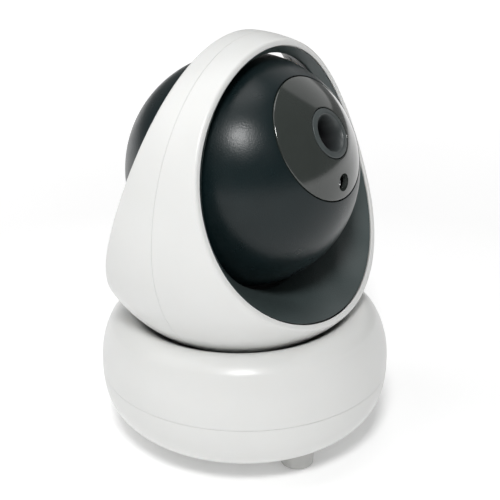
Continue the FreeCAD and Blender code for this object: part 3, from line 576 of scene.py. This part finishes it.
def build_base_shell():
    seam_z = BASE_SEAM_Z + SEAM
    under_z = DISH_FLOOR_Z - DISH_FLOOR_H
    rings = []
    for i in range(TURN):
        a = 2 * math.pi * i / TURN
        side, ahead = math.cos(a), math.sin(a)

        def dish_here(z):
            return PAN_Y * ahead + math.sqrt(dish_radius(z) ** 2 - (PAN_Y * side) ** 2)

        edge = bisect(*DISH_EDGE_ZS, lambda z: dish_here(z) < base_radius(z))
        hole_r = SPINDLE_HOLE_R + PAN_Y * ahead
        wall = [(base_radius(z), z) for z in spaced(seam_z, edge, 60)]
        dish = [(dish_here(z), z) for z in spaced(edge, DISH_FLOOR_Z, 40)]
        floor = [dish[-1], (hole_r, DISH_FLOOR_Z)]
        hole = [floor[-1], (hole_r, under_z)]
        under = [hole[-1], (dish[-1][0], under_z)]
        inner = [under[-1]] + [(base_radius(z, BASE_WALL), z) for z in (*SHELL_INNER_ZS, seam_z)]
        seam = [inner[-1], wall[0]]
        section = rounded_loop([(wall, DISH_EDGE_ROUND, 44), (dish, DISH_FOOT_ROUND, 16), (floor, CRISP, 2),
                                (hole, CRISP, 1), (under, CRISP, 2), (inner, CRISP, 8), (seam, CRISP, 2)],
                               corner_points=16)
        rings.append([(r * side, r * ahead, z) for r, z in section])
    mesh_piece("base_upper", rings, "base", "shell_white", ["base_shell"])


def foot_places():
    """(x, y) of the three feet, on a circle about the pan axis."""
    places = [polar(FOOT_CIRCLE_R, angle) for angle in FOOT_ANGLES]
    return [(x, y + PAN_Y) for x, y in places]


def cover_cutters():
    """Bores of the bottom cover: foot pockets, speaker grille, reset button and power socket."""
    low, high = FOOT_POCKET_ZS
    cutters = [round_cutter("pocket", FOOT_POCKET_R, (x, y, low), (x, y, high)) for x, y in foot_places()]
    speaker_x, speaker_y = polar(SPEAKER_PLACE_R, SPEAKER_ANGLE)
    for count, radius in GRILLE_RINGS:
        for i in range(count):
            dx, dy = polar(radius, 360.0 * i / count)
            x, y = speaker_x + dx, speaker_y + dy
            cutters.append(round_cutter("grille", GRILLE_HOLE_R, (x, y, 0), (x, y, THROUGH_FLOOR_Z),
                                        sides=20))
    x, y = polar(RESET_PLACE_R, BASE_REAR)
    cutters.append(round_cutter("button_hole", RESET_HOLE_R, (x, y, 0), (x, y, THROUGH_FLOOR_Z)))
    near, far = [(*polar(reach, BASE_REAR), SOCKET_Z) for reach in SOCKET_REACH]
    across = (*polar(1.0, BASE_REAR + 90.0), 0.0)
    cutters.append(box_cutter("socket_notch", SOCKET_MOUTH, near, far, across))
    return cutters


def build_bottom_cover():
    top = BASE_SEAM_Z - SEAM
    heights = [BASE_BOTTOM_Z + (top - BASE_BOTTOM_Z) * (1 - math.cos(turn)) / 2
               for turn in spaced(0.0, math.pi, 60)]
    wall = [(base_radius(z), z) for z in heights]
    seam = [wall[-1], (base_radius(top, BASE_WALL), top)]
    inner = [seam[-1]] + [(base_radius(z, BASE_WALL), z) for z in (*COVER_INNER_ZS, COVER_FLOOR_Z)]
    floor = [inner[-1], (TRIPOD_HOLE_R, COVER_FLOOR_Z)]
    hole = [floor[-1], (TRIPOD_HOLE_R, BASE_BOTTOM_Z)]
    under = [hole[-1], wall[0]]
    section = rounded_loop([(wall, CRISP, 52), (seam, CRISP, 2), (inner, CRISP, 12), (floor, CRISP, 3),
                            (hole, CRISP, 2), (under, COVER_EDGE_ROUND, 6)])
    cover = mesh_piece("base_lower", turned_upright(section, TURN), "base", "shell_white",
                       ["base_bottom_cover"])
    bore(cover, cover_cutters())


# ---------------------------------------------------------------- yoke
FRONT_RIM_ROUND, REAR_RIM_ROUND = 0.75, 0.9
RIM_BACK_ROUND = 0.45          # the rim's inner edge
PARTING_ROUND = 0.09
LINER_FIT = 0.08               # gap between the liners and the inside of the yoke's wall
LINER_WALL = 1.5
LINER_RIM_H = 2.0
LINER_RIM_ROUND = 0.2
MOUTH_SET_IN = 0.35            # the front liner starts this far inside the rim
THROAT_H = 1.0
THROAT_ROUND, REAR_THROAT_ROUND = 0.5, 0.6
REAR_SET_IN = 0.7              # the rear liner's panel lies this far inside the rim
REAR_PANEL_H = 1.8
REAR_PANEL_MARGIN = 0.3


def egg_side(phi, start, end, inset, floor_z):
    """Points (reach, y) along the egg from y start to y end, cut flat at floor_z."""
    up = math.cos(phi)
    out = []
    for y in spaced(start, end, 28):
        reach = egg_reach(phi, y, inset)
        if up < 0 and BALL_Z + reach * up < floor_z:
            reach = (floor_z - BALL_Z) / up
        out.append((reach, y))
    return out


def yoke_section(phi, rim):
    front = rim is FRONT_RIM
    parting = PARTING_Y - SEAM if front else PARTING_Y + SEAM
    lip = [rim_place(rim, phi, 0.0), rim_place(rim, phi, EGG_WALL)]
    outer = egg_side(phi, parting, lip[0][1], 0.0, EGG_FLOOR_Z)
    inner = egg_side(phi, lip[1][1], parting, EGG_WALL, YOKE_FLOOR_Z)
    joint = [inner[-1], outer[0]]
    rim_round = FRONT_RIM_ROUND if front else REAR_RIM_ROUND
    return rounded_loop([(outer, rim_round, 36), (lip, RIM_BACK_ROUND, 4), (inner, CRISP, 12),
                         (joint, PARTING_ROUND, 2)])


def build_yoke_shell(name, rim, node):
    rings = around_ball(lambda phi: yoke_section(phi, rim))
    return mesh_piece(name, rings, "yoke", "shell_white", [node])


def throat_place(phi):
    """(reach, y) of the funnel's inner edge, on a sphere a little larger than the ball."""
    slope = (THROAT_TOP[0] - THROAT_FOOT[0]) / (THROAT_TOP[1] - THROAT_FOOT[1])
    radius = BALL_R + BALL_CLEAR

    def at(reach):
        return THROAT_FOOT[0] + slope * (BALL_Z + reach * math.cos(phi) - THROAT_FOOT[1])

    reach = bisect(0.0, BEYOND_EGG, lambda r: math.hypot(r, at(r) - BALL_Y) < radius)
    return reach, at(reach)


def sphere_side(start, end, radius, centre):
    """Points (reach, y) of a sphere centred at y = centre, from y start to y end."""
    return [(math.sqrt(radius ** 2 - (y - centre) ** 2), y) for y in spaced(start, end, 16)]


def front_liner_section(phi):
    rim_reach, rim_at = rim_place(FRONT_RIM, phi, EGG_WALL + LINER_FIT)
    throat_reach, throat_y = throat_place(phi)
    start = (rim_reach, rim_at + MOUTH_SET_IN)
    face = [start, (throat_reach, throat_y)]
    bore_side = sphere_side(throat_y, PARTING_Y, BALL_R + BALL_CLEAR, BALL_Y)
    back = [bore_side[-1], (bore_side[-1][0] + LINER_WALL, PARTING_Y)]
    rim_back_y = rim_at + LINER_RIM_H
    rim_back = (min(rim_reach, egg_reach(phi, rim_back_y, EGG_WALL + LINER_FIT)), rim_back_y)
    shell = [back[-1], (throat_reach + LINER_WALL, throat_y + THROAT_H), rim_back]
    edge = [rim_back, start]
    return rounded_loop([(face, THROAT_ROUND, 18), (bore_side, CRISP, 12), (back, CRISP, 2),
                         (shell, LINER_RIM_ROUND, 12), (edge, LINER_RIM_ROUND, 3)])


def rear_liner_section(phi):
    rim_reach, rim_at = rim_place(REAR_RIM, phi, EGG_WALL + LINER_FIT)
    radius = BALL_R + BALL_CLEAR
    behind_parting = BALL_Y - PARTING_Y
    centre = BALL_Y + REAR_FLARE
    flared = math.sqrt(radius ** 2 - behind_parting ** 2 + (behind_parting + REAR_FLARE) ** 2)
    start = (rim_reach, rim_at - REAR_SET_IN)

    def panel_y(reach):
        return rim_y(REAR_RIM, BALL_Z + reach * math.cos(phi)) - REAR_SET_IN

    throat = bisect(0.0, rim_reach, lambda r: math.hypot(r, panel_y(r) - centre) < flared)
    panel = [start] + [(reach, panel_y(reach)) for reach in spaced(rim_reach, throat, 20)[1:]]
    inner_edge = panel[-1]
    bore_side = [inner_edge] + sphere_side(inner_edge[1], PARTING_Y, flared, centre)[1:]
    back = [bore_side[-1], (bore_side[-1][0] + LINER_WALL, PARTING_Y)]
    nearest = back[-1][0] + REAR_PANEL_MARGIN
    behind = [(r, y - REAR_PANEL_H) for r, y in reversed(panel) if r > nearest]
    shell = [back[-1]] + (behind or [(rim_reach, rim_at - LINER_RIM_H)])
    edge = [shell[-1], start]
    return rounded_loop([(panel, REAR_THROAT_ROUND, 20), (bore_side, CRISP, 14), (back, CRISP, 2),
                         (shell, LINER_RIM_ROUND, 14), (edge, LINER_RIM_ROUND, 3)])


def build_yoke():
    """Two white shells and two dark liners. The reliefs are cut from all but the front shell."""
    build_yoke_shell("yoke_front", FRONT_RIM, "yoke_front_shell")
    relieved = [build_yoke_shell("yoke_rear", REAR_RIM, "yoke_rear_shell"),
                mesh_piece("yoke_mouth", around_ball(front_liner_section), "yoke", "liner_grey",
                           ["yoke_front_liner"]),
                mesh_piece("yoke_back", around_ball(rear_liner_section), "yoke", "liner_grey",
                           ["yoke_rear_liner"])]
    for piece in relieved:
        for relief in hoop_reliefs():
            bore(piece, [relief])


# ---------------------------------------------------------------- ball
SPLIT_BACK = 8.0               # the ball's halves meet this far behind its centre
SPLIT_GAP = 0.035              # half-gap between the halves, degrees
SPLIT_ROUND = 0.06
SEAT_W, SEAT_DEPTH = 1.8, 1.85     # step that the face plate lies on
SEAT_ROUND = 0.05
LEDGE_DEPTH = 3.6              # back of that step, below the ball's surface
INSIDE_END_ANGLE = 36.0            # the front shell's inside is drawn up to this angle from the lens axis
INSIDE_FIRST_STEP = 1.0            # and starts this many degrees ahead of the joint
REAR_INSIDE_GAP = 0.1              # the rear shell's inside ends this many degrees behind the joint
PLATE_EDGE_ROUND = 0.22
PLATE_RIM_ROUND = 0.28
PLATE_SINK, PLATE_H = 0.05, 1.8    # the plate's face and its back, below the ball's surface
CARD_SLOT, CARD_SCOOP = (12.4, 1.8), (15.2, 3.8)
CARD_SCOOP_DEPTH = 0.6
PIVOT_HOLE_R = 6.05
CUT_FROM, CUT_TO = 28.0, 40.0      # cutters through the ball's wall run between these radii
BEZEL_FOOT_H = 27.0
BEZEL_RIM_ROUND, MOUTH_ROUND = 0.25, 0.35
MOUTH_R = 5.6
CONE_TOP_R, CONE_TOP_DROP = 5.45, 0.25     # the recess starts this wide, this far below the mouth
CONE_NARROWING, CONE_POWER, CONE_DEPTH = 2.1, 0.8, 6.2
DOME_R, DOME_SPHERE_R, DOME_CENTRE_H, DOME_BASE_H = 3.15, 5.0, 22.6, 25.2
DOME_POLE_R = 0.0001           # its points merge into one


def split_angle(radius):
    return 90.0 + math.degrees(math.asin(SPLIT_BACK / radius))


def angle_on(sphere, radius):
    """Angle from the lens axis at which a sphere is this wide."""
    return math.degrees(math.asin(radius / sphere))


def below_lens(angle, distance):
    """A point at this angle below the lens axis and this distance from the ball's centre."""
    a = math.radians(angle)
    return tilt_up((0.0, -distance * math.cos(a), -distance * math.sin(a)))


def build_ball_front():
    inner = BALL_R - BALL_WALL
    seat_r = PLATE_R - SEAT_W
    skin = sphere_arc(BALL_R, PLATE_ANGLE, split_angle(BALL_R) - SPLIT_GAP, 60)
    joint = [skin[-1], on_sphere(inner, split_angle(inner))]
    inside = [joint[-1]] + sphere_arc(inner, split_angle(inner) - INSIDE_FIRST_STEP, INSIDE_END_ANGLE, 20)
    ledge = [inside[-1], (seat_r, height_on(BALL_R - LEDGE_DEPTH, seat_r))]
    lip = [ledge[-1], (seat_r, height_on(BALL_R - SEAT_DEPTH, seat_r))]
    seat = [lip[-1], (PLATE_R, height_on(BALL_R - SEAT_DEPTH, PLATE_R))]
    wall = [seat[-1], skin[0]]
    section = rounded_loop([(skin, SPLIT_ROUND, 90), (joint, CRISP, 2), (inside, CRISP, 24),
                            (ledge, CRISP, 2), (lip, CRISP, 2), (seat, SEAT_ROUND, 2),
                            (wall, PLATE_EDGE_ROUND, 2)])
    front = lathe("ball_front", section, "ball_black", ["ball_front_shell"])
    slot = box_cutter("slot", CARD_SLOT, below_lens(CARD_SLOT_DROP, CUT_FROM),
                      below_lens(CARD_SLOT_DROP, CUT_TO), (1, 0, 0))
    scoop = box_cutter("scoop", CARD_SCOOP, below_lens(CARD_SLOT_DROP, BALL_R - CARD_SCOOP_DEPTH),
                       below_lens(CARD_SLOT_DROP, CUT_TO), (1, 0, 0))
    pivots = round_cutter("pivots", PIVOT_HOLE_R, (-CUT_TO, BALL_Y, BALL_Z), (CUT_TO, BALL_Y, BALL_Z))
    for tool in (slot, scoop, pivots):
        bore(front, [tool])


def build_ball_rear():
    inner = BALL_R - BALL_WALL
    skin = sphere_arc(BALL_R, split_angle(BALL_R) + SPLIT_GAP, 180.0, 60)
    inside = sphere_arc(inner, 180.0, split_angle(inner) + REAR_INSIDE_GAP, 20)
    lathe("ball_rear", skin + inside, "ball_black", ["ball_rear_shell"], sharp=50)


def build_face_plate():
    outer, low = BALL_R - PLATE_SINK, BALL_R - PLATE_H
    rim_r, hole_r = PLATE_R - GROOVE, BEZEL_R + GROOVE
    skin = sphere_arc(outer, angle_on(outer, rim_r), angle_on(outer, hole_r), 50)
    bore_wall = [skin[-1], (hole_r, height_on(low, hole_r))]
    under = sphere_arc(low, angle_on(low, hole_r), angle_on(low, rim_r), 20)
    rim = [under[-1], skin[0]]
    section = rounded_loop([(skin, PLATE_EDGE_ROUND, 60), (bore_wall, CRISP, 2), (under, CRISP, 12),
                            (rim, PLATE_RIM_ROUND, 2)], corner_points=6)
    plate = lathe("face_disc", section, "plate_gloss", ["face_plate"])
    bore(plate, [round_cutter("sensor_hole", SENSOR_HOLE_R, below_lens(SENSOR_DROP, CUT_FROM),
                              below_lens(SENSOR_DROP, CUT_TO), sides=64)])


def build_lens():
    sphere = BALL_R - PLATE_SINK
    mouth_h = height_on(sphere, MOUTH_R)
    outside = [(BEZEL_R, BEZEL_FOOT_H), (BEZEL_R, height_on(sphere, BEZEL_R))]
    cap = sphere_arc(sphere, BEZEL_ANGLE, angle_on(sphere, MOUTH_R), 10)
    cone = [cap[-1]] + [(CONE_TOP_R - CONE_NARROWING * share ** CONE_POWER,
                         mouth_h - CONE_TOP_DROP - CONE_DEPTH * share) for share in spaced(0.0, 1.0, 12)]
    under = [cone[-1], outside[0]]
    section = rounded_loop([(outside, BEZEL_RIM_ROUND, 4), (cap, MOUTH_ROUND, 10), (cone, CRISP, 24),
                            (under, CRISP, 2)])
    lathe("lens_ring", section, "bezel_gloss", ["lens_bezel"], turn=160)
    dome = [(DOME_POLE_R + r, DOME_CENTRE_H + height_on(DOME_SPHERE_R, r)) for r in spaced(0.0, DOME_R, 16)]
    back = [(DOME_R, DOME_BASE_H), (DOME_POLE_R, DOME_BASE_H)]
    lathe("lens_dome", dome + back, "lens_glass", ["front_lens"], turn=96, closed=False, sharp=40)


# ---------------------------------------------------------------- feet
FOOT_PROFILE = ((0.001, 7.3), (4.95, 7.3), (5.0, 1.6), (4.85, 0.55), (3.9, 0.0), (2.6, 0.0), (2.3, 0.35),
                (0.001, 0.35))            # radius and height, from the hidden top to the middle of the tread
FOOT_TURN = 72


def build_feet():
    for number, (x, y) in enumerate(foot_places(), 1):
        foot = mesh_piece("foot_pad_%d" % number, turned_upright(FOOT_PROFILE, FOOT_TURN, x, y), "base",
                          "foot_rubber", ["foot_%d" % number], closed_section=False, sharp=40)
        bevel = foot.modifiers.new("soft", "BEVEL")
        bevel.width = 0.4 * MM
        bevel.segments = 3
        bevel.angle_limit = math.radians(25)


build_base_shell()
build_bottom_cover()
build_yoke()
build_ball_front()
build_ball_rear()
build_face_plate()
build_lens()
build_feet()


# ---------------------------------------------------------------- floor, light and camera, m
FLOOR_HALF_SIZE = 3.0
FLOOR_GLOW = {"From Min": 0.2, "From Max": 0.9, "To Min": 0.18, "To Max": 0.85}    # grows with distance
WORLD_STRENGTH = 0.17
LIGHT_AIM = Vector((0.0, 0.0, 0.07))
LIGHTS = (                     # name, azimuth, elevation, distance, size, power
    ("key", -149, 50, 0.9, 0.20, 5.0),
    ("side", 0, 35, 1.1, 0.9, 1.0),
    ("fill", 130, 56, 1.1, 0.8, 3.0),
    ("top", 60, 84, 1.1, 0.7, 2.6),
)
CAMERA_AT = Vector((-0.26557, -0.18328, 0.19476))
CAMERA_AIM = Vector((0.00091, -0.00133, 0.05892))
CAMERA_LENS = 83.82            # focal length in mm, for a sensor 36 mm wide


def build_floor():
    bm = bmesh.new()
    bmesh.ops.create_grid(bm, x_segments=24, y_segments=24, size=FLOOR_HALF_SIZE)
    mesh = bpy.data.meshes.new("floor")
    bm.to_mesh(mesh)
    bm.free()
    floor = bpy.data.objects.new("floor", mesh)
    bpy.context.scene.collection.objects.link(floor)
    paper = surface("floor_paper", (0.93, 0.93, 0.93), spread=0.01, rough=0.9, grain=600.0, grain_depth=0.05,
                    mottle=8.0, specular=0.1)
    tree = paper.node_tree
    shader = tree.nodes["Principled BSDF"]
    shader.inputs["Emission Color"].default_value = (1, 1, 1, 1)
    reach = tree.nodes.new("ShaderNodeVectorMath")
    reach.operation = "LENGTH"
    tree.links.new(tree.nodes.new("ShaderNodeTexCoord").outputs["Object"], reach.inputs[0])
    glow = tree.nodes.new("ShaderNodeMapRange")
    for socket, value in FLOOR_GLOW.items():
        glow.inputs[socket].default_value = value
    tree.links.new(reach.outputs["Value"], glow.inputs["Value"])
    tree.links.new(glow.outputs["Result"], shader.inputs["Emission Strength"])
    floor.data.materials.append(paper)


def area_light(name, azimuth, elevation, distance, size, power):
    """A round lamp in this direction from the object, turned towards it."""
    light = bpy.data.lights.new(name, "AREA")
    light.energy = power
    light.shape = "DISK"
    light.size = size
    lamp = bpy.data.objects.new(name, light)
    bpy.context.scene.collection.objects.link(lamp)
    a, e = math.radians(azimuth), math.radians(elevation)
    away = Vector((math.cos(a) * math.cos(e), math.sin(a) * math.cos(e), math.sin(e)))
    lamp.location = LIGHT_AIM + away * distance
    lamp.rotation_euler = away.to_track_quat("Z", "Y").to_euler()


def build_world():
    world = bpy.data.worlds.new("studio")
    bpy.context.scene.world = world
    world.use_nodes = True
    background = world.node_tree.nodes["Background"]
    background.inputs["Color"].default_value = (1.0, 1.0, 1.0, 1)
    background.inputs["Strength"].default_value = WORLD_STRENGTH


def build_camera():
    camera = bpy.data.cameras.new("camera")
    camera.lens = CAMERA_LENS
    camera.sensor_width = 36.0
    camera.clip_start = 0.01
    holder = bpy.data.objects.new("camera", camera)
    bpy.context.scene.collection.objects.link(holder)
    holder.location = CAMERA_AT
    holder.rotation_euler = (CAMERA_AT - CAMERA_AIM).to_track_quat("Z", "Y").to_euler()
    bpy.context.scene.camera = holder


build_floor()
build_world()
for light in LIGHTS:
    area_light(*light)
build_camera()
bpy.context.scene.view_settings.view_transform = "Standard"
